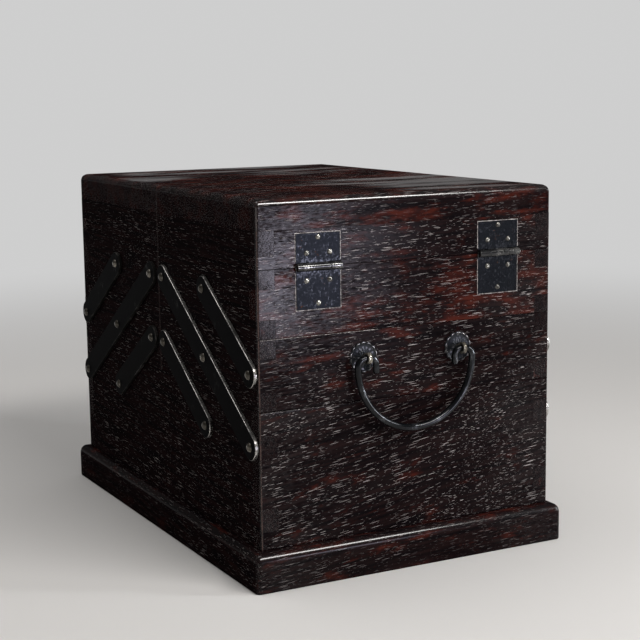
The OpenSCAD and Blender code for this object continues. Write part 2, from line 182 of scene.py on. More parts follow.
# %% A material with a shader to drive
class Finish(Graph):
    def __init__(self, name, **values):
        self.material = bpy.data.materials.new(name)
        self.material.use_nodes = True
        super().__init__(self.material.node_tree)
        self.shader = self.tree.nodes["Principled BSDF"]
        self.drive(**values)

    def drive(self, **values):
        """Sets or links sockets of the shader: Base_Color stands for Base Color."""
        for socket, value in values.items():
            self.feed(self.shader.inputs[socket.replace("_", " ")], value)

    def emboss(self, height, depth):
        """Lights the surface as if it stood up by height times depth, in metres."""
        self.drive(Normal=self.add("Bump", None, Strength=1.0, Distance=depth, Height=height))

# %% [markdown]
# ## Boards with softened edges
# A CAD solid has perfectly sharp edges. Hands have rounded those of real boards, and the round is
# what catches the light. Each board here is a copy of its solid. Its triangles are first dissolved
# into whole faces, so that a Bevel modifier sees only true edges. The modifier reads one weight per
# edge, which lets a body corner be rounder than a glued joint. A Weighted Normal modifier then lets
# the big faces decide the shading, so they stay dead flat. The solids of the two halves stand a
# little apart, so that they can move. Real boards are fitted until no light falls between the
# closed halves, so the copies reach almost to the seam.

# %% Copies of the frame's solids, with their flat faces whole
SMOOTH_BELOW = math.radians(35)
FLAT_BELOW = math.radians(0.5)
SAME_POINT = 0.001 * MM


def whole_faces(node):
    shape = bmesh.new()
    shape.from_mesh(frame["nodes"][node].data)
    bmesh.ops.remove_doubles(shape, verts=shape.verts, dist=SAME_POINT)
    bmesh.ops.dissolve_limit(shape, angle_limit=FLAT_BELOW, verts=shape.verts, edges=shape.edges)
    return shape


def close(a, b, within=0.02 * MM):
    return abs(a - b) < within


CLOSED_Y = 0.02 * MM


def to_the_seam(shape):
    """Moves the sides that face the other half out, until the closed halves almost touch."""
    for vertex in shape.verts:
        if close(abs(vertex.co.y), SEAM_Y):
            vertex.co.y = math.copysign(CLOSED_Y, vertex.co.y)
    return shape


def shade(mesh, sharp_from=SMOOTH_BELOW):
    for face in mesh.polygons:
        face.use_smooth = True
    mesh.set_sharp_from_angle(angle=sharp_from)


def as_piece(shape, name, sharp_from=SMOOTH_BELOW):
    mesh = bpy.data.meshes.new(name)
    shape.to_mesh(mesh)
    shape.free()
    shade(mesh, sharp_from)
    piece = bpy.data.objects.new(name, mesh)
    bpy.context.scene.collection.objects.link(piece)
    return piece


def settle(piece):
    """Bakes the modifiers of a piece into its mesh."""
    final = piece.evaluated_get(bpy.context.evaluated_depsgraph_get())
    mesh = bpy.data.meshes.new_from_object(final)
    piece.modifiers.clear()
    piece.data = mesh
    return piece


# %% Round every edge by its own width
def soft_edges(shape, name, width_of, steps=3):
    """A piece made of shape, with each edge rounded by width_of(edge), in metres."""
    widths = [width_of(edge) for edge in shape.edges]
    widest = max(widths)
    piece = as_piece(shape, name)
    weights = piece.data.attributes.new("bevel_weight_edge", "FLOAT", "EDGE")
    weights.data.foreach_set("value", [width / widest for width in widths])
    rounding = piece.modifiers.new("rounding", "BEVEL")
    rounding.limit_method = "WEIGHT"
    rounding.width = widest
    rounding.segments = steps
    rounding.use_clamp_overlap = False
    settle(piece)
    shade(piece.data)
    flat = piece.modifiers.new("flat faces", "WEIGHTED_NORMAL")
    flat.weight = 100
    flat.keep_sharp = True
    return settle(piece)


# %% [markdown]
# Where an edge lies says how round it is. The upright corners of the body are worn most, the rims
# where one level meets the next less, and the lines of a finger joint hardly at all: there the
# rounding only draws the hairline that a glued joint shows.

# %% How round each edge of a board is
CORNER_ROUND = 1.2 * MM
SEAM_ROUND = 0.5 * MM
RIM_ROUND = 0.12 * MM
JOINT_ROUND = 0.1 * MM
SHORTEST_EDGE = 2.5 * MM
BEND_FROM = math.radians(30)
X, Y, Z = range(3)


def lies_at(edge, axis, distance):
    """Whether both ends of an edge are that far from the frame's origin along an axis."""
    return all(close(abs(vertex.co[axis]), distance) for vertex in edge.verts)


def board_edge(low, high):
    def width_of(edge):
        if edge.calc_length() < SHORTEST_EDGE or edge.calc_face_angle(0.0) < BEND_FROM:
            return 0.0
        if lies_at(edge, X, SIDE_X) and lies_at(edge, Y, FACE_Y):
            return CORNER_ROUND
        if lies_at(edge, X, SIDE_X) and lies_at(edge, Y, CLOSED_Y):
            return SEAM_ROUND
        return RIM_ROUND if lies_at(edge, Z, low.z) or lies_at(edge, Z, high.z) else JOINT_ROUND
    return width_of


# %% [markdown]
# ## Grain that belongs to the board
# Wood is solid: the same pore shows as a dash on a board's face and as a dot on its end. So the
# finish is worked out in three dimensions, from a position that is stored on each mesh. Every board
# gets its own origin inside the imagined log, its own grain direction and a small slant, and the
# end grain at the finger joints then appears by itself. A second pair of vectors says how deep a
# point lies inside the body's outer box: the finish uses it to wear the corners that hands reach,
# and not the joints between boards. Two numbers say how far off the seam is, and how red the board is.

# %% Store grain positions on a mesh
def islands(mesh):
    """The separate solids of a mesh, as lists of vertex numbers."""
    leader = list(range(len(mesh.vertices)))

    def lead(vertex):
        while leader[vertex] != vertex:
            leader[vertex] = leader[leader[vertex]]
            vertex = leader[vertex]
        return vertex

    for edge in mesh.edges:
        first, last = map(lead, edge.vertices)
        leader[max(first, last)] = min(first, last)
    groups = {}
    for vertex in range(len(mesh.vertices)):
        groups.setdefault(lead(vertex), []).append(vertex)
    return list(groups.values())


ALONG_WIDTH, ALONG_DEPTH = X, Y
HIDDEN = 40 * MM
FAR_AWAY = 1.0


def lay_grain(piece, along, low, high, slant=0.0, warmth=0.5, halved=False):
    """along is the axis that the grain follows, and low and high are the corners that hands reach.
    slant is in degrees, warmth says how red the board is, and a halved one ends at the seam."""
    mesh = piece.data
    for name in ("place", "reach", "grain"):
        mesh.attributes.new(name, "FLOAT_VECTOR", "POINT")
    mesh.attributes.new("warmth", "FLOAT", "POINT")
    mesh.attributes.new("seam", "FLOAT", "POINT")
    place, reach, grain = [mesh.attributes[name].data for name in ("place", "reach", "grain")]
    from_seam = [abs(vertex.co.y) if halved else FAR_AWAY for vertex in mesh.vertices]
    mesh.attributes["seam"].data.foreach_set("value", from_seam)
    mesh.attributes["warmth"].data.foreach_set("value", [warmth] * len(mesh.vertices))
    order = [along] + [axis for axis in range(3) if axis != along]
    tilt = Matrix.Rotation(math.radians(slant), 3, "Y")
    middle, half = (low + high) / 2, (high - low) / 2
    for number, island in enumerate(islands(mesh)):
        log = random.Random(f"{piece.name} {number} ")
        origin = Vector([log.uniform(1, 9) for _ in range(3)])
        for i in island:
            point = mesh.vertices[i].co
            place[i].vector = point - middle
            reach[i].vector = half
            grain[i].vector = tilt @ Vector([point[axis] for axis in order]) + origin


# %% [markdown]
# ## The hardwood
# The wood is a near-black heartwood with red-brown patches. Its pores are wide and open, and old
# polish has filled them with something pale, so the surface is covered in short light dashes. Each
# pore is a thin thread in the wood. A Voronoi texture that is stretched along the grain gives one
# thread in each cell, and a slow noise bends the grain first. Where the bend runs across the
# surface the dashes slant, and where it runs into the surface it cuts them down to dots.

# %% The colours and pores of the hardwood
HEART = (0.0030, 0.0020, 0.0025)
BROWN = (0.0092, 0.0044, 0.0045)
RED = (0.046, 0.0088, 0.0055)
PORE = (0.85, 0.78, 0.76)
WORN = (0.30, 0.15, 0.12)
BEND = (0.0, 0.022, 0.012)
THREADS = (  # width of a cell in metres, stretch, radius in cells from and to, strength
    (0.50 * MM, 40.0, 0.14, 0.24, 1.0),
    (0.42 * MM, 13.0, 0.12, 0.20, 0.75),
)
WORN_WIDTH = (1.0 * MM, 0.1 * MM)
RUBBED_WIDTH = (1.2 * MM, 0.4 * MM)
SHEEN_FADE = (75 * MM, 10 * MM)
SEAM_WEAR = 0.14


def threads(wood, bent, across, stretch, thin, thick, strength):
    """Where a pore meets the surface, from 0 to strength."""
    along = wood.stretch(bent, 1 / stretch, 1.0, 1.0)
    cell = wood.add("TexVoronoi", None, Vector=along, Scale=1 / across)
    size_luck, tone_luck, _ = wood.parts(cell.output("Color"))
    inside = (thin + (thick - thin) * size_luck - cell).ramp(0.0, 0.06)
    return inside * (strength * tone_luck.lifted(0.40))


# %% The hardwood finish
def hardwood(name, rim=1.2 * MM, polish=1.0, pores=1.0, sheen=0.36, lacquer=1.5, streaked=False):
    """rim is how far in from its rims a board is rubbed, pores and sheen how strong its dashes and its
    patches of polish are, and lacquer how strongly the polish bends light. streaked adds pale streaks."""
    wood = Finish(name, Coat_Roughness=0.16, Coat_IOR=lacquer, Specular_IOR_Level=0.0)
    grain = wood.measure("grain")
    slow = wood.noise(grain, 5.0, detail=1.5, output="Color")
    lean = wood.vectors("ADD", slow, (-0.5, -0.5, -0.5))
    bent = wood.vectors("MULTIPLY_ADD", lean, BEND, grain)

    figure = wood.noise(wood.stretch(bent, 0.30, 1.0, 1.0), 100.0, detail=4.0, roughness=0.7)
    streak = wood.noise(wood.stretch(bent, 0.04, 1.0, 1.0), 520.0, detail=2.0)
    cloud = wood.noise(wood.stretch(bent, 0.5, 1.0, 1.0), 24.0, detail=1.0)

    long_pores, short_pores = (threads(wood, bent, *kind) for kind in THREADS)
    filled = long_pores.most(short_pores) * cloud.ramp(0.30, 0.60).lifted(0.35)
    filled = (filled * pores).least(1.0)

    from_side, from_face, from_rim = wood.parts(
        wood.vectors("SUBTRACT", wood.measure("reach"), wood.vectors("ABSOLUTE", wood.measure("place"))))
    seam = wood.measure("seam", "Fac")
    to_edge = from_side.least(from_face).most(from_side.most(from_face).least(from_rim))
    at_seam = SEAM_WEAR * seam.most(from_side.least(from_rim)).ramp(*RUBBED_WIDTH)
    worn = to_edge.ramp(*WORN_WIDTH).most(at_seam) * figure.ramp(0.35, 0.6).lifted(0.2)
    rubbed = to_edge.ramp(*RUBBED_WIDTH).most(from_rim.most(from_face).ramp(rim, 0.35 * rim))
    rubbed = rubbed.most(0.35 * from_rim.most(from_side).ramp(rim, 0.35 * rim)).most(at_seam)

    warmth = wood.measure("warmth", "Fac")
    red = (figure + 0.16 * warmth + 0.15 * (cloud - 0.5)).ramp(0.60, 0.82)
    red = red * streak.ramp(0.25, 0.6).lifted(0.30)
    red = red * from_side.ramp(0.3 * MM, 2.0 * MM).lifted(0.3)
    colour = wood.mix(streak.ramp(0.3, 0.75), HEART, BROWN)
    colour = wood.mix(red, colour, RED)
    colour = wood.mix(0.30 * worn, colour, WORN)
    colour = wood.mix(filled * 0.85, colour, PORE)

    fine = wood.noise(wood.stretch(bent, 0.20, 1.0, 1.0), 1400.0, detail=2.0)
    gloss = (0.38 * cloud + 0.17 * streak + 0.45 * fine).ramp(0.39, 0.61)
    gloss = sheen * gloss * from_side.ramp(*SHEEN_FADE).lifted(0.3) * from_face.ramp(3.0 * MM, 1.0 * MM)
    if streaked:
        place = wood.measure("place")
        patch = wood.noise(place, 9.0, detail=1.0).ramp(0.47, 0.60) * 0.6
        pale = wood.noise(wood.stretch(place, 0.22, 1.0, 1.0), 34.0, detail=4.0, roughness=0.6)
        on_top = from_rim.ramp(1.0 * MM, 0.2 * MM)
        gloss = gloss.most(patch * pale.ramp(0.45, 0.62) * (1 - 0.8 * filled) * on_top)
    wood.drive(Base_Color=colour, Roughness=0.24 + 0.12 * streak + 0.3 * filled + 0.25 * (1 - polish),
               Coat_Weight=(0.01 + gloss).most(0.95 * rubbed) * polish)
    wave = wood.noise(wood.stretch(bent, 0.4, 1.0, 1.0), 240.0, detail=1.0)
    wood.emboss(0.2 * streak + 0.45 * wave - filled, 0.10 * MM)
    return wood.material


FACE_WOOD = hardwood("face_wood")
# The pale pores are real, but here they are weaker than on the face wood: painted shade that keeps the
# end faces dark.
END_WOOD_PAINTED_SHADE = hardwood("end_wood", pores=0.38)
LID_WOOD = hardwood("lid_wood", rim=5.0 * MM, pores=0.55, sheen=0.12, lacquer=1.8, streaked=True)
PLINTH_WOOD = hardwood("plinth_wood", rim=6.0 * MM, pores=0.3)
FLOOR_WOOD = hardwood("floor_wood", polish=0.2)
print("hardwood finishes made")


# %% [markdown]
# ## Dressing the boards
# One function does all boards that keep the shape of their solid: it copies, rounds, stores the
# grain, gives the finish, hangs the copy on the body it rides on and hides the solid it stands
# for. The end boards run along the depth, and most others along the width.

# %% Dress a node
def body_of(node):
    return next(body for body, nodes in frame["record"]["behaviour"]["bodies"].items() if node in nodes)


def stand_for(piece, node, finish):
    if not piece.data.materials:
        piece.data.materials.append(finish)
    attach(piece, body_of(node))
    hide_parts(node)


def hands_reach(node, top=HIDDEN):
    """The outer box of the part that a board belongs to, with its rims and seam moved out of reach."""
    low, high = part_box(node)
    side = Vector((SIDE_X, FACE_Y, 0))
    return Vector((0, 0, low.z - HIDDEN)) - side, Vector((0, 0, high.z + top)) + side


def dress_board(node, along, finish, slot, **grain):
    piece = soft_edges(to_the_seam(whole_faces(node)), node + "_board", board_edge(*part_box(node)))
    lay_grain(piece, along, *hands_reach(node), **grain)
    stand_for(piece, node, finish)


SLANTS = {"mid": 3.0, "top": 2.0, "lid": 2.0}
WARMTHS = {"mid": 0.5, "top": 0.9, "lid": 0.5}
dress_board("box_front", ALONG_WIDTH, FACE_WOOD, "face_wood", slant=7.0, warmth=0.3)
dress_board("box_rear", ALONG_WIDTH, FACE_WOOD, "face_wood", slant=-4.0, warmth=0.4)
dress_board("box_ends", ALONG_DEPTH, END_WOOD_PAINTED_SHADE, "end_wood", slant=2.0, warmth=0.0)
dress_board("box_floor", ALONG_DEPTH, FLOOR_WOOD, "floor_wood")
for half in HALVES:
    for level in ("mid", "top", "lid"):
        dress_board(f"{half}_{level}_outer", ALONG_WIDTH, FACE_WOOD, "face_wood",
                    slant=SLANTS[level], warmth=WARMTHS[level], halved=True)
        dress_board(f"{half}_{level}_inner", ALONG_WIDTH, END_WOOD_PAINTED_SHADE, "end_wood", warmth=0.3, halved=True)
        dress_board(f"{half}_{level}_ends", ALONG_DEPTH, END_WOOD_PAINTED_SHADE, "end_wood", warmth=0.0, halved=True)
    for level in ("mid", "top"):
        dress_board(f"{half}_{level}_floor", ALONG_WIDTH, FLOOR_WOOD, "floor_wood")
print("boards dressed")

# %% [markdown]
# ## Lid boards
# A lid's top board is thick, and three of its upper edges are rounded like a cushion. The solid has
# those rounds but sharp upright corners, so this piece starts again from a plain block. The same
# weighted rounding gives the broad edges, the softer corners and the crisp seam edge in one go.

# %% Round the lid boards
LID_ROUND = 4.5 * MM
LID_CORNER = 1.6 * MM


def block(low, high):
    shape = bmesh.new()
    made = bmesh.ops.create_cube(shape, size=1.0)
    middle, size = (low + high) / 2, high - low
    for vertex in made["verts"]:
        vertex.co = middle + Vector([vertex.co[axis] * size[axis] for axis in range(3)])
    return shape


def lid_edge(low, high):
    def width_of(edge):
        if lies_at(edge, Y, CLOSED_Y):
            return SEAM_ROUND
        if lies_at(edge, Z, high.z):
            return LID_ROUND
        if lies_at(edge, Z, low.z):
            return JOINT_ROUND
        return LID_CORNER if lies_at(edge, Y, FACE_Y) else SEAM_ROUND
    return width_of


for half in HALVES:
    node = f"{half}_lid_board"
    low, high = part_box(node)
    piece = soft_edges(to_the_seam(block(low, high)), node + "_rounded", lid_edge(low, high), steps=8)
    lay_grain(piece, ALONG_WIDTH, *hands_reach(node, top=0.0), slant=1.5, warmth=0.9, halved=True)
    stand_for(piece, node, LID_WOOD)
print("lid boards rounded")

# %% [markdown]
# ## The plinth
# Four rails are mitred at the corners. Their profile is rounded at the top, and the outer corners
# are worn round. Each rail is a piece of its own, with grain along its length. Its profile is
# stepped from mitre to mitre: at each step, every point of the profile is placed on a rectangle
# with rounded corners, and the further in the point lies, the smaller its rectangle is.

# %% Join rings of vertices into a skin
def join_rings(shape, rings, closed=False):
    """Adds faces between each two rings, and a cap on both ends, or from the last ring to the first."""
    count = len(rings[0])
    for ring, following in zip(rings, rings[1:] + rings[:1] if closed else rings[1:]):
        for k in range(count):
            j = (k + 1) % count
            shape.faces.new((ring[k], ring[j], following[j], following[k]))
    if not closed:
        shape.faces.new(rings[0])
        shape.faces.new(list(reversed(rings[-1])))


# %% Step the rails' profile round the corners
PLINTH_LOW, PLINTH_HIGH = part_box("plinth_front")
PLINTH_TOP = PLINTH_HIGH.z
RAIL_W = PLINTH_HIGH.y - PLINTH_LOW.y
TOP_ROUND = 6.0 * MM
FOOT_ROUND = 0.8 * MM
CORNER_R = 3.5 * MM
STEPS = 8


def arc(middle, radius, start, stop, steps=STEPS):
    """Points of a circle from one angle to another, in degrees, both ends included."""
    angles = [math.radians(start + (stop - start) * i / steps) for i in range(steps + 1)]
    return [(middle[0] + radius * math.cos(a), middle[1] + radius * math.sin(a)) for a in angles]


def rail_profile():
    """Points (inset from the outer face, height), from the inner foot round to the inner top."""
    foot = arc((FOOT_ROUND, FOOT_ROUND), FOOT_ROUND, 270, 180, 3)
    top = arc((TOP_ROUND, PLINTH_TOP - TOP_ROUND), TOP_ROUND, 180, 90)
    return [(RAIL_W, 0.0), *foot, *top, (RAIL_W, PLINTH_TOP)]


def corner_point(inset, share, half_x, half_y):
    """A point on the outline at an inset; share runs from 0 on the front's end to 1 at the mitre."""
    radius = max(CORNER_R - inset, 0.0)
    angle = math.radians(45 * share)
    middle_x, middle_y = half_x - inset - radius, half_y - inset - radius
    return middle_x + radius * math.sin(angle), middle_y + radius * math.cos(angle)


def rail(half_x, half_y):
    """The rail along the face at -half_y, cut at both mitres, as a shape with closed ends."""
    shape = bmesh.new()
    sections = []
    for side in (-1, 1):
        shares = [1 - i / STEPS for i in range(STEPS + 1)]
        for share in (shares if side < 0 else reversed(shares)):
            ring = []
            for inset, z in rail_profile():
                x, y = corner_point(inset, share, half_x, half_y)
                ring.append(shape.verts.new((side * x, -y, z)))
            sections.append(ring)
    join_rings(shape, sections)
    bmesh.ops.remove_doubles(shape, verts=shape.verts, dist=SAME_POINT)
    bmesh.ops.recalc_face_normals(shape, faces=shape.faces)
    return shape


FOOT_X, FOOT_Y = abs(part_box("plinth_left")[0].x), abs(PLINTH_LOW.y)
RAILS = {  # half length, distance out, turn in degrees, grain
    "plinth_front": (FOOT_X, FOOT_Y, 0, ALONG_WIDTH),
    "plinth_rear": (FOOT_X, FOOT_Y, 180, ALONG_WIDTH),
    "plinth_left": (FOOT_Y, FOOT_X, -90, ALONG_DEPTH),
    "plinth_right": (FOOT_Y, FOOT_X, 90, ALONG_DEPTH),
}
for node, (half_length, out, turn, along) in RAILS.items():
    shape = rail(half_length, out)
    shape.transform(Matrix.Rotation(math.radians(turn), 4, "Z"))
    piece = as_piece(shape, node + "_rail", sharp_from=math.radians(40))
    corner = Vector((FOOT_X, FOOT_Y, 0))
    lay_grain(piece, along, Vector((0, 0, -HIDDEN)) - corner, Vector((0, 0, PLINTH_TOP)) + corner,
              slant=3.0, warmth=0.5)
    stand_for(piece, node, PLINTH_WOOD)
print("plinth rails:", len(RAILS))

# %% [markdown]
# ## Metal finishes
# The arms, hinges and handles are wrought iron under a dark skin, and the eyes, pins and screws are
# brass that has gone grey. Both need the same three things: a skin whose tone drifts over the
# surface, small pits and scratches, and places where it is rubbed bright. The brighter the rubbing,
# the more metallic the surface.

# %% A finish for iron and brass
RUST = (0.085, 0.030, 0.010)


def metal(name, skin, bright, rubbed, roughness, blotch=90.0, bare=0.55, rust=0.0, grime=None,
          worn_height=None, raised=None, waxed=0.0):
    """skin is the dark colour, bright the rubbed one, rubbed its share, and bare how metallic the skin
    is. blotch counts patches per metre, rust and waxed say how strong these are, and grime is a colour.
    More is rubbed near worn_height, or where the mesh's measure named raised is high."""
    iron = Finish(name, Specular_IOR_Level=0.0, Coat_Weight=waxed, Coat_Roughness=0.10)
    where = iron.add("TexCoord", output="Object")
    drift = iron.noise(where, blotch, detail=3.0)
    pits = iron.noise(where, 1400.0, detail=2.0, roughness=0.6)
    scratch = iron.noise(iron.stretch(where, 1.0, 1.0, 0.10), 1500.0, detail=1.0)
    tone = drift * 0.55 + scratch * 0.25 + pits * 0.20
    if worn_height is not None:
        above = iron.parts(where)[2] - worn_height
        tone = tone + 0.08 * above.most(-1 * above).ramp(9 * MM, 2 * MM)
    if raised:
        tone = tone + 0.30 * iron.measure(raised, "Fac").ramp(0.60, 0.92)
    shown = tone.ramp(0.62 - 0.3 * rubbed, 0.84 - 0.3 * rubbed)
    colour = iron.mix(shown, skin, bright)
    if grime:
        colour = iron.mix(0.7 * pits.ramp(0.55, 0.70), colour, grime)
    rough = roughness + 0.25 * (pits - 0.5) - 0.10 * shown
    shiny = shown.lifted(bare)
    if rust:
        patch = iron.noise(where, 260.0, detail=4.0, roughness=0.65) + 0.25 * (drift - 0.5)
        patch = patch.ramp(0.66, 0.76) * rust
        colour = iron.mix(patch, colour, RUST)
        rough = rough + 0.4 * patch
        shiny = shiny * (1 - patch)
    iron.drive(Base_Color=colour, Roughness=rough, Metallic=shiny)
    iron.emboss(0.6 * pits + 0.4 * drift, 0.05 * MM)
    return iron.material


# %% The iron and brass of this box
GREASE = (0.02, 0.017, 0.013)
HINGE_LINE = sum(corner.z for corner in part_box("front_hinge_pins")) / 2
ARM_IRON = metal("arm_iron", (0.0032, 0.0032, 0.0035), (0.024, 0.023, 0.022),
                 rubbed=0.10, roughness=0.42, bare=0.1)
ARM_EDGES_REAR_SHADED = {
    "front": metal("front_arm_edge", (0.09, 0.087, 0.083), (0.62, 0.60, 0.57),
                   rubbed=0.8, roughness=0.32),
    # The rear arms' edges: a darker copy of the front ones, painted shade that keeps them dark.
    "rear": metal("rear_arm_edge", (0.020, 0.019, 0.018), (0.20, 0.19, 0.18),
                  rubbed=0.4, roughness=0.36),
}
HINGE_IRON = metal("hinge_iron", (0.0075, 0.0083, 0.0100), (0.036, 0.038, 0.043),
                   rubbed=0.36, roughness=0.30, blotch=620.0, bare=0.7, rust=0.8, worn_height=HINGE_LINE)
BARREL_IRON = metal("barrel_iron", (0.012, 0.012, 0.013), (0.48, 0.47, 0.45),
                    rubbed=0.46, roughness=0.14, waxed=0.8)
BAIL_IRON = metal("bail_iron", (0.0050, 0.0057, 0.0068), (0.125, 0.130, 0.142),
                  rubbed=0.36, roughness=0.15, waxed=0.4)
ROSETTE_IRON = metal("rosette_iron", (0.0150, 0.0165, 0.0200), (0.30, 0.295, 0.29),
                     rubbed=0.25, roughness=0.34, blotch=420.0, raised="high", waxed=0.3)
EYE_BRASS = metal("eye_brass", (0.12, 0.108, 0.088), (0.70, 0.65, 0.55),
                  rubbed=0.6, roughness=0.22, grime=GREASE, waxed=0.4)
PIN_BRASS = metal("pin_brass", (0.055, 0.049, 0.038), (0.42, 0.385, 0.32),
                  rubbed=0.40, roughness=0.20, grime=GREASE, waxed=0.5)
SCREW_BRASS = metal("screw_brass", (0.050, 0.047, 0.040), (0.75, 0.72, 0.64),
                    rubbed=0.55, roughness=0.12, grime=GREASE, waxed=0.8)
print("metal finishes made")

# %% [markdown]
# ## Arms
# The arms are flat bars with round ends. Their solids have the right outline, so the pieces are
# rounded copies. The round along the outer edge has a finish of its own, because there the dark
# skin is rubbed away: from the front those edges show as thin bright lines. The edges of the rear
# arms get a darker copy of that finish, a painted shade that keeps them dark.

# %% Dress the arms
ARM_ROUND = 0.45 * MM
ARM_BACK_ROUND = 0.15 * MM
HOLE_EDGE = 0.45 * MM
SQUARE_FROM = math.radians(60)
FLAT_FROM = 0.95
ARM_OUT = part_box("front_long_arms")[1].x


def two_finishes(piece, finish, second, has_second):
    """Gives a piece one finish, and a second on each face that has_second(face) picks."""
    for material in (finish, second):
        piece.data.materials.append(material)
    for face in piece.data.polygons:
        face.material_index = int(has_second(face))


def arm_edge(edge):
    if edge.calc_length() < HOLE_EDGE or edge.calc_face_angle(0.0) < SQUARE_FROM:
        return 0.0
    return ARM_ROUND if lies_at(edge, X, ARM_OUT) else ARM_BACK_ROUND


for half in HALVES:
    for kind in ("long", "lower", "upper"):
        node = f"{half}_{kind}_arms"
        piece = soft_edges(whole_faces(node), f"{half}_{kind}_arm_bars", arm_edge)
        two_finishes(piece, ARM_IRON, ARM_EDGES_REAR_SHADED[half], lambda face: abs(face.normal.x) < FLAT_FROM)
        stand_for(piece, node, ARM_IRON)
print("arms dressed")

# %% Finishes for the small parts that keep their solids
KEPT = {"box_pins": PIN_BRASS}
for half in HALVES:
    for kind, finish in (("mid_pins", PIN_BRASS), ("top_pins", PIN_BRASS), ("hinge_pins", HINGE_IRON),
                         ("lid_screws", SCREW_BRASS), ("tray_screws", SCREW_BRASS)):
        KEPT[f"{half}_{kind}"] = finish
for node, finish in KEPT.items():
    for slot in frame["nodes"][node].material_slots:
        slot.material = finish
print("small parts finished:", len(KEPT))

# %% [markdown]
# ## Bars bent from sheet and wire
# Hinges, eyes and handles are all bent from sheet or wire, so each is described by the shape of its
# section or its path and then pushed along it. The pieces are drawn for the front half. The rear
# half is the same thing turned half round the upright axis, which is how the frame makes it too.

# %% Push a section along the width, or a circle along a path
HALF_TURN = Matrix.Rotation(math.pi, 4, "Z")
SHARP_METAL = math.radians(50)


def bar(shape, section, low, high):
    """Adds a closed bar between two places on the X axis; its section is (y, z) points."""
    join_rings(shape, [[shape.verts.new((x, y, z)) for y, z in section] for x in (low, high)])


def tube(shape, path, radii, sides=20):
    """Adds a round bar along path, a list of points, with a radius for each."""
    side = None
    rings = []
    for i, (point, radius) in enumerate(zip(path, radii)):
        ahead = (path[min(i + 1, len(path) - 1)] - path[max(i - 1, 0)]).normalized()
        if side is None:
            side = ahead.orthogonal().normalized()
        side = (side - ahead * side.dot(ahead)).normalized()
        other = ahead.cross(side)
        ring = []
        for k in range(sides):
            turn = 2 * math.pi * k / sides
            out = side * math.cos(turn) + other * math.sin(turn)
            ring.append(shape.verts.new(point + out * radius))
        rings.append(ring)
    join_rings(shape, rings)


def finish_shape(shape, half):
    """Turns all faces outward, and a shape for the rear half round."""
    bmesh.ops.recalc_face_normals(shape, faces=shape.faces)
    if half == "rear":
        shape.transform(HALF_TURN)
    return shape


# %% [markdown]
# ## Hinges
# A leaf is a strip of iron whose end is rolled round the pin. The solid shows a plate and a full
# barrel. Here the section of the roll is drawn instead: it leaves the plate, goes round the pin and
# ends just before it meets the plate again. That leaves the small step along the barrel that a
# rolled knuckle has. The plate is let into the wood, so its front edges get the wider round.

# %% Measure the hinges
LEAF_LOW, LEAF_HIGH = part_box("front_lid_leaves")
PIN_LOW, PIN_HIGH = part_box("front_hinge_pins")
HINGE_Y, HINGE_Z = (PIN_LOW.y + PIN_HIGH.y) / 2, (PIN_LOW.z + PIN_HIGH.z) / 2
KNUCKLE_R = HINGE_Y - LEAF_LOW.y
PLATE_BACK = LEAF_HIGH.y
PLATE_T = 1.1 * MM
PLATE_FRONT = PLATE_BACK - PLATE_T
HINGE_W = 30.0 * MM
HINGE_XS = (LEAF_LOW.x + HINGE_W / 2, LEAF_HIGH.x - HINGE_W / 2)
MIDDLE_KNUCKLE = 13.6 * MM
KNUCKLE_GAP = 0.25 * MM
ROLL_END, END_BEVEL = -292, 7
LEAF_ROUND = 0.18 * MM
LEAF_BACK_ROUND = 0.05 * MM
LEAF_TOP = LEAF_HIGH.z
LEAF_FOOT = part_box("front_tray_leaves")[0].z
print(f"hinge axis at y {HINGE_Y / MM:.2f} and z {HINGE_Z / MM:.2f}, barrel radius {KNUCKLE_R / MM:.2f}")


# %% A leaf with rolled knuckles
def rolled_section(up):
    """The (y, z) outline of a roll and the plate next to it, for a leaf that stands up or down."""
    inner_r = KNUCKLE_R - PLATE_T
    reach = KNUCKLE_R + KNUCKLE_GAP
    outside = arc((0.0, 0.0), KNUCKLE_R, 0, ROLL_END, 28)
    inside = arc((0.0, 0.0), inner_r, ROLL_END + END_BEVEL, 0, 24)
    section = [(KNUCKLE_R, reach), *outside, *inside, (inner_r, 0.55 * KNUCKLE_R), (inner_r, reach)]
    return [(HINGE_Y + y, HINGE_Z + (z if up else -z)) for y, z in section]


def knuckle_spans(middle):
    inner = MIDDLE_KNUCKLE / 2
    if middle:
        return [(-inner, inner)]
    return [(-HINGE_W / 2, -inner - KNUCKLE_GAP), (inner + KNUCKLE_GAP, HINGE_W / 2)]


def leaf_shape(up):
    shape = bmesh.new()
    clear = HINGE_Z + (KNUCKLE_R + KNUCKLE_GAP) * (1 if up else -1)
    low_z, high_z = (clear, LEAF_TOP) if up else (LEAF_FOOT, clear)
    plate = [(PLATE_FRONT, low_z), (PLATE_BACK, low_z), (PLATE_BACK, high_z), (PLATE_FRONT, high_z)]
    for x in HINGE_XS:
        bar(shape, plate, x - HINGE_W / 2, x + HINGE_W / 2)
        for first, last in knuckle_spans(middle=up):
            bar(shape, rolled_section(up), x + first, x + last)
    return shape


def from_hinge(point):
    return math.hypot(point.y - HINGE_Y, point.z - HINGE_Z)


def leaf_edge(edge):
    """Rounds the front edges of the plate and the rims of the barrel, and the rest a little."""
    if edge.calc_face_angle(0.0) < SQUARE_FROM:
        return 0.0
    on_barrel = close(from_hinge(edge.verts[0].co), KNUCKLE_R)
    return LEAF_ROUND if on_barrel or lies_at(edge, Y, abs(PLATE_FRONT)) else LEAF_BACK_ROUND


for half in HALVES:
    for kind, up in (("lid", True), ("tray", False)):
        node = f"{half}_{kind}_leaves"
        shape = leaf_shape(up)
        bmesh.ops.recalc_face_normals(shape, faces=shape.faces)
        piece = soft_edges(shape, f"{half}_{kind}_hinge_leaves", leaf_edge, steps=2)
        two_finishes(piece, HINGE_IRON, BARREL_IRON, lambda face: from_hinge(face.center) < KNUCKLE_R)
        if half == "rear":
            piece.data.transform(HALF_TURN)
        stand_for(piece, node, HINGE_IRON)
print("hinge leaves rolled")

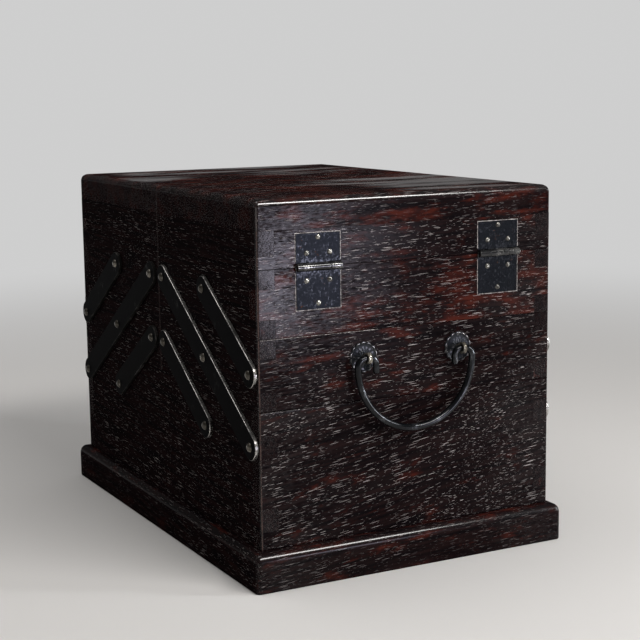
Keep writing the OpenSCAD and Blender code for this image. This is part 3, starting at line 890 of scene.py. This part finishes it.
# %% [markdown]
# ## The pale lines round the leaves
# The recess for a leaf is a little larger than the leaf, and years of wax have filled the joint.
# It shows as a thin pale outline. The filler is a low bead that follows three sides of the leaf.
# Its width wanders by a seeded amount, because wax was never laid with a ruler.

# %% Beads of old wax
def wax_finish():
    wax = Finish("old_wax", Roughness=0.75, Specular_IOR_Level=0.15)
    where = wax.add("TexCoord", output="Object")
    dirt = wax.noise(where, 700.0, detail=3.0, roughness=0.6)
    wax.drive(Base_Color=wax.mix(dirt.ramp(0.35, 0.65), (0.10, 0.085, 0.080), (0.44, 0.41, 0.39)))
    wax.emboss(dirt, 0.05 * MM)
    return wax.material


OLD_WAX = wax_finish()
WAX_HALF_WIDTH = 0.32 * MM
WAX_WANDER = (0.65, 1.25)
WAX_PROUD = 0.05 * MM
WAX_DEEP = 0.5 * MM
WAX_STEP = 1.5 * MM
RECESS_GAP = 0.1 * MM
WAX_FROM_PIN = 3.2 * MM


def bead(shape, start, end, luck, half_width=WAX_HALF_WIDTH):
    """A low bead on the handle face between two (x, z) points."""
    run = Vector(end) - Vector(start)
    side = Vector((-run.y, run.x)).normalized()
    count = max(2, round(run.length / WAX_STEP))
    rings = []
    for i in range(count + 1):
        at = Vector(start) + run * (i / count)
        width = half_width * luck.uniform(*WAX_WANDER)
        profile = ((-width, WAX_DEEP), (-width, 0.0), (0.0, -WAX_PROUD), (width, 0.0), (width, WAX_DEEP))
        rings.append([shape.verts.new((at.x + side.x * u, -FACE_Y + v, at.y + side.y * u))
                      for u, v in profile])
    join_rings(shape, rings)


def lay_wax(shape, half, name, body):
    piece = as_piece(finish_shape(shape, half), name)
    piece.data.materials.append(OLD_WAX)
    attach(piece, body)


for half in HALVES:
    for kind, body, leaf_end, up in (("lid", "lid", LEAF_TOP, 1), ("tray", "top_tray", LEAF_FOOT, -1)):
        shape = bmesh.new()
        luck = random.Random(f"wax {half} {kind}")
        near, far = HINGE_Z + up * WAX_FROM_PIN, leaf_end + up * RECESS_GAP
        for x in HINGE_XS:
            left, right = x - HINGE_W / 2 - RECESS_GAP, x + HINGE_W / 2 + RECESS_GAP
            bead(shape, (left, near), (left, far), luck)
            bead(shape, (left - WAX_HALF_WIDTH, far), (right + WAX_HALF_WIDTH, far), luck)
            bead(shape, (right, far), (right, near), luck)
        lay_wax(shape, half, f"{half}_{kind}_wax_lines", f"{half}_{body}")

# %% One more line of wax, along the left of the joint under the top tray
JOINT_HALF_WIDTH = 0.12 * MM
JOINT_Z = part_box("front_mid_outer")[1].z - 0.14 * MM
JOINT_END_X = -24 * MM
shape = bmesh.new()
bead(shape, (CORNER_ROUND - SIDE_X, JOINT_Z), (JOINT_END_X, JOINT_Z), random.Random("joint"),
     half_width=JOINT_HALF_WIDTH)
lay_wax(shape, "front", "front_joint_wax_line", "front_mid_tray")
print("wax lines laid")

# %% [markdown]
# ## Rosettes
# Behind each eye lies a thin iron flower that keeps the handle from bruising the wood. The solid is
# flat. The piece is a disc of rings and spokes instead, whose height is a formula: a groove between
# each two petals, a dished middle and a raised lip that follows the scallops. The height is also
# stored, so that the finish can rub the high places bright.

# %% Emboss the rosettes
ROSE_LOW, ROSE_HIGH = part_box("front_rosettes")
ROSE_T = -FACE_Y - ROSE_LOW.y
EYE_Z = (ROSE_LOW.z + ROSE_HIGH.z) / 2
ROSE_R = (ROSE_HIGH.z - ROSE_LOW.z) / 2
EYE_X = 34.2 * MM
PETALS = 14
PETAL_OVERLAP = 1.15
PETAL_R = ROSE_R * math.sin(math.pi / PETALS) * PETAL_OVERLAP
ROSE_HOLE = 2.0 * MM
LIP_AT, LIP_WIDTH = 0.90, 0.06


def scallop(angle):
    """How far the edge of the flower is from its middle."""
    share = (angle * PETALS / (2 * math.pi) + 0.5) % 1.0 - 0.5
    off = share * 2 * math.pi / PETALS
    out = ROSE_R - PETAL_R
    return out * math.cos(off) + math.sqrt(max(PETAL_R**2 - (out * math.sin(off))**2, 0.0))


def petal_height(angle, share):
    """From 0 to 1, at a share of the way from the hole to the edge."""
    groove = abs(math.cos(angle * PETALS / 2)) ** 0.6
    lip = math.exp(-((share - LIP_AT) / LIP_WIDTH) ** 2)
    dish = 0.45 + 0.25 * math.cos(share * 5.2)
    edge = min(1.0, (1.0 - share) / 0.05)
    return edge * min(1.0, dish * (0.45 + 0.55 * groove) + 0.42 * lip)


def flower(shape, at_x, layer, spokes=PETALS * 12, rings=22):
    rows = []
    for ring in range(rings + 1):
        share = ring / rings
        row = []
        for spoke in range(spokes):
            angle = 2 * math.pi * spoke / spokes
            out = ROSE_HOLE + (scallop(angle) - ROSE_HOLE) * share
            high = petal_height(angle, share)
            y = -FACE_Y - ROSE_T * (0.30 + 0.70 * high)
            vertex = shape.verts.new((at_x + out * math.sin(angle), y, EYE_Z + out * math.cos(angle)))
            vertex[layer] = high
            row.append(vertex)
        rows.append(row)
    for row in (rows[0], rows[-1]):
        rows.append([shape.verts.new((vertex.co.x, -FACE_Y, vertex.co.z)) for vertex in row])
    join_rings(shape, [rows[-2], *rows[:-2], rows[-1]], closed=True)


for half in HALVES:
    shape = bmesh.new()
    layer = shape.verts.layers.float.new("high")
    for x in (-EYE_X, EYE_X):
        flower(shape, x, layer)
    piece = as_piece(finish_shape(shape, half), f"{half}_petalled_rosettes", SHARP_METAL)
    stand_for(piece, f"{half}_rosettes", ROSETTE_IRON)
print("rosettes embossed")

# %% [markdown]
# ## Eyes and bails
# Each eye is a brass strip bent into a ring, with its two ends passed through the board and turned
# over inside. The ring is slightly waisted, so its two rims catch the light. The bail is one wire:
# its ends pass through the eyes and hang down as short tails, and it swells a little towards the
# middle, where the smith left the most iron.

# %% Bend the eyes
EYE_Y = -FACE_Y - 6.0 * MM
EYE_BORE = 2.6 * MM
EYE_R = 3.8 * MM
EYE_W = 2.6 * MM
LEG_T = 1.2 * MM
LEG_LEN = 8.0 * MM
LEG_BEND = 1.4 * MM
BOARD_BACK = -FACE_Y + BOARD_T
WAIST = 0.35 * MM
RING_ROUND = 0.2 * MM


def ring_of_strip(shape, x, turns=40):
    """A ring round the X axis with a waisted outside."""
    side, flat = EYE_W / 2, EYE_W / 2 - RING_ROUND
    section = [(-side, EYE_BORE + RING_ROUND), (-side, EYE_R - RING_ROUND), (-flat, EYE_R)]
    section += [(side * s, EYE_R - WAIST * (1 - s * s)) for s in (-0.6, -0.3, 0.0, 0.3, 0.6)]
    section += [(flat, EYE_R), (side, EYE_R - RING_ROUND), (side, EYE_BORE + RING_ROUND)]
    section += [(flat, EYE_BORE), (-flat, EYE_BORE)]
    rings = []
    for turn in range(turns):
        angle = 2 * math.pi * turn / turns
        rings.append([shape.verts.new((x + u, EYE_Y + r * math.cos(angle), EYE_Z + r * math.sin(angle)))
                      for u, r in section])
    join_rings(shape, rings, closed=True)


def leg(shape, x, side):
    """One end of the strip, through the board and turned over, above for side 1 or below for -1."""
    start = EYE_Y + EYE_BORE + 0.5 * MM
    near = 0.06 * MM
    turned = arc((BOARD_BACK - LEG_BEND + LEG_T, LEG_BEND), LEG_BEND, 360, 270, 5)
    run = [(start, LEG_T), (BOARD_BACK, LEG_T), (BOARD_BACK, LEG_LEN)]
    back = [(BOARD_BACK + LEG_T, LEG_LEN), *turned[:-1], (turned[-1][0], near), (start, near)]
    section = [(y, EYE_Z + side * z) for y, z in run + back]
    bar(shape, section, x - EYE_W / 2, x + EYE_W / 2)


for half in HALVES:
    shape = bmesh.new()
    for x in (-EYE_X, EYE_X):
        ring_of_strip(shape, x)
        leg(shape, x, 1)
        leg(shape, x, -1)
    piece = as_piece(finish_shape(shape, half), f"{half}_strip_eyes", SHARP_METAL)
    stand_for(piece, f"{half}_eyes", EYE_BRASS)
print("eyes bent")

# %% Bend the bails
WIRE_R = 2.2 * MM
THINNEST = 0.93
DOME = (0.999, 0.9, 0.7, 0.4, 0.0)
SHOULDER_R = 5.4 * MM
EYE_HALF = 1.7 * MM
TAIL_R = 4.0 * MM
TAIL_LEN = 4.0 * MM
BAIL_R = EYE_X + EYE_HALF + SHOULDER_R


def bail_path():
    """Half of the wire, from the tip of a tail to the lowest point, as (x, z) from the eyes' axis."""
    tail_x = EYE_X - EYE_HALF - TAIL_R
    tip = [(tail_x, -TAIL_R - TAIL_LEN - WIRE_R * share) for share in DOME]
    turn = arc((EYE_X - EYE_HALF, -TAIL_R), TAIL_R, 180, 90, 10)
    shoulder = arc((EYE_X + EYE_HALF, -SHOULDER_R), SHOULDER_R, 90, 0, 12)
    bow = arc((0.0, -SHOULDER_R), BAIL_R, 0, -90, 48)
    return [*tip, (tail_x, -TAIL_R - TAIL_LEN / 2), *turn, *shoulder, *bow[1:]]


def wire_radius(i, count):
    """The radius at point i of count: domed at both ends of the wire and fullest half way."""
    from_end = min(i, count - 1 - i)
    if from_end < len(DOME):
        return WIRE_R * math.sqrt(1 - DOME[from_end]**2)
    return WIRE_R * (THINNEST + (1 - THINNEST) * math.sqrt(2 * from_end / count))


for half in HALVES:
    shape = bmesh.new()
    right_half = bail_path()
    whole = right_half + [(-x, z) for x, z in reversed(right_half[:-1])]
    path = [Vector((x, EYE_Y, EYE_Z + z)) for x, z in whole]
    tube(shape, path, [wire_radius(i, len(path)) for i in range(len(path))])
    piece = as_piece(finish_shape(shape, half), f"{half}_wire_bail", sharp_from=math.radians(60))
    stand_for(piece, f"{half}_bail", BAIL_IRON)
print(f"bails bent, {2 * BAIL_R / MM:.1f} mm between the wire's sides")

# %% [markdown]
# ## The camera
# The camera stands where the photographer stood, left of the front handle face and above the lid.
# Its place, direction and focal length in pixels were fitted to points of the box in the photo.

# %% Camera
PHOTO_PIXELS = 640
FOCAL_PIXELS = 1484.3
CAMERA_AT = Vector((-473.16, -932.07, 303.71)) * MM
YAW, PITCH, ROLL = (math.radians(angle) for angle in (27.786, 9.160, -0.7495))

lens = bpy.data.cameras.new("photo_camera")
lens.lens = lens.sensor_width * FOCAL_PIXELS / PHOTO_PIXELS
lens.clip_end = 60.0
camera = bpy.data.objects.new("photo_camera", lens)
bpy.context.scene.collection.objects.link(camera)
ahead = Vector((math.sin(YAW) * math.cos(PITCH), math.cos(YAW) * math.cos(PITCH), -math.sin(PITCH)))
level = Vector((math.cos(YAW), -math.sin(YAW), 0.0))
above = level.cross(ahead)
right = math.cos(ROLL) * level + math.sin(ROLL) * above
up = math.cos(ROLL) * above - math.sin(ROLL) * level
camera.matrix_world = Matrix.Translation(CAMERA_AT) @ Matrix((right, up, -ahead)).transposed().to_4x4()
bpy.context.scene.camera = camera
print(f"camera {CAMERA_AT.length:.2f} m away, lens {lens.lens:.1f} mm")

# %% [markdown]
# ## Lamps
# One wide bank above the front lights the handle face and draws the thin highlights along the
# rounded edges, and a weaker lamp overhead fills in the top. A small cool one stands low on the
# right, where the polished face mirrors it at its upper left: that gives the blue sheen there. A
# tall strip further right puts a line of light on every upright wire and rim. A narrow spread, as
# from a grid on a real lamp, keeps most of the light of these two off the floor. All are dim enough
# that a colour shows about as written.

# %% Lamps
def soft_lamp(name, at, size, watts, colour, target=(0.0, 0.0, 0.12), spread=180, tall=1.0):
    """size is the lamp's width in metres, tall its height in widths, and spread an angle in degrees."""
    data = bpy.data.lights.new(name, "AREA")
    data.shape = "RECTANGLE"
    data.size, data.size_y = size, size * tall
    data.spread = math.radians(spread)
    data.energy = watts
    data.color = colour
    lamp = bpy.data.objects.new(name, data)
    lamp.location = at
    lamp.rotation_euler = (Vector(target) - Vector(at)).to_track_quat("-Z", "Y").to_euler()
    bpy.context.scene.collection.objects.link(lamp)


soft_lamp("bank", (0.40, -1.22, 1.30), 1.1, 23, (1.0, 0.98, 0.955), tall=0.27)
soft_lamp("overhead", (-0.45, 0.30, 1.45), 0.9, 5, (1.0, 0.99, 0.98))
soft_lamp("window", (0.335, -0.95, 0.10), 0.18, 0.145, (0.84, 0.82, 1.0),
          target=(-0.08, -0.15, 0.19), spread=60)
soft_lamp("strip", (0.85, -0.70, 0.31), 0.10, 1.7, (0.93, 0.96, 1.0),
          target=(0.0, -0.16, 0.15), spread=90, tall=6.0)
print("lamps:", len(bpy.data.lights))

# %% [markdown]
# ## Floor and background
# The floor is one pale disc. Further out it fades to the same even tone as the background, so no
# horizon shows. The world is dim for what it lights, pale where the camera sees it, and for mirror
# rays pale near the horizon and darker above, as a room with a grey ceiling would be.

# %% Floor
PALE = 0.62
FLOOR_R = 25.0
FLOOR_DROP = 0.05 * MM
FADE = (0.3, 1.5)
ground = bmesh.new()
bmesh.ops.create_circle(ground, cap_ends=True, segments=96, radius=FLOOR_R)
floor = as_piece(ground, "studio_floor")
floor.location.z = -FLOOR_DROP
paper = Finish("pale_paper", Base_Color=(0.60, 0.585, 0.57, 1.0), Roughness=0.9, Specular_IOR_Level=0.1)
glow = paper.add("Emission", None, (PALE, PALE, PALE, 1.0), 1.0)
away = paper.vectors("LENGTH", paper.add("TexCoord", output="Object"), output="Value")
seen = paper.ray("Camera").most(paper.ray("Glossy").most(paper.ray("Transmission")))
lit = Signal(paper, paper.shader.outputs["BSDF"])
mixed = paper.add("MixShader", None, away.ramp(*FADE) * seen, lit, glow)
paper.feed(paper.tree.nodes["Material Output"].inputs["Surface"], mixed)
floor.data.materials.append(paper.material)
print("floor laid")

# %% Background
AMBIENT = 0.32
CEILING = 0.10
CEILING_FADE = (0.02, 0.12)
world = bpy.data.worlds.new("studio")
bpy.context.scene.world = world
world.use_nodes = True
sky = Graph(world.node_tree)
background = sky.tree.nodes["Background"]
background.inputs["Color"].default_value = (1.0, 1.0, 1.0, 1.0)
height = sky.parts(sky.add("TexCoord", output="Generated"))[2]
room = PALE + (CEILING - PALE) * height.ramp(*CEILING_FADE)
dim = AMBIENT + sky.ray("Glossy") * (room - AMBIENT)
direct = sky.ray("Camera").most(sky.ray("Transmission"))
sky.feed(background.inputs["Strength"], dim + direct * (PALE - dim))
print("background pale for the camera, ceiling", CEILING)

# %% [markdown]
# ## The end
# The colours are shown with the Standard view transform.

# %% The view transform
bpy.context.scene.view_settings.view_transform = "Standard"
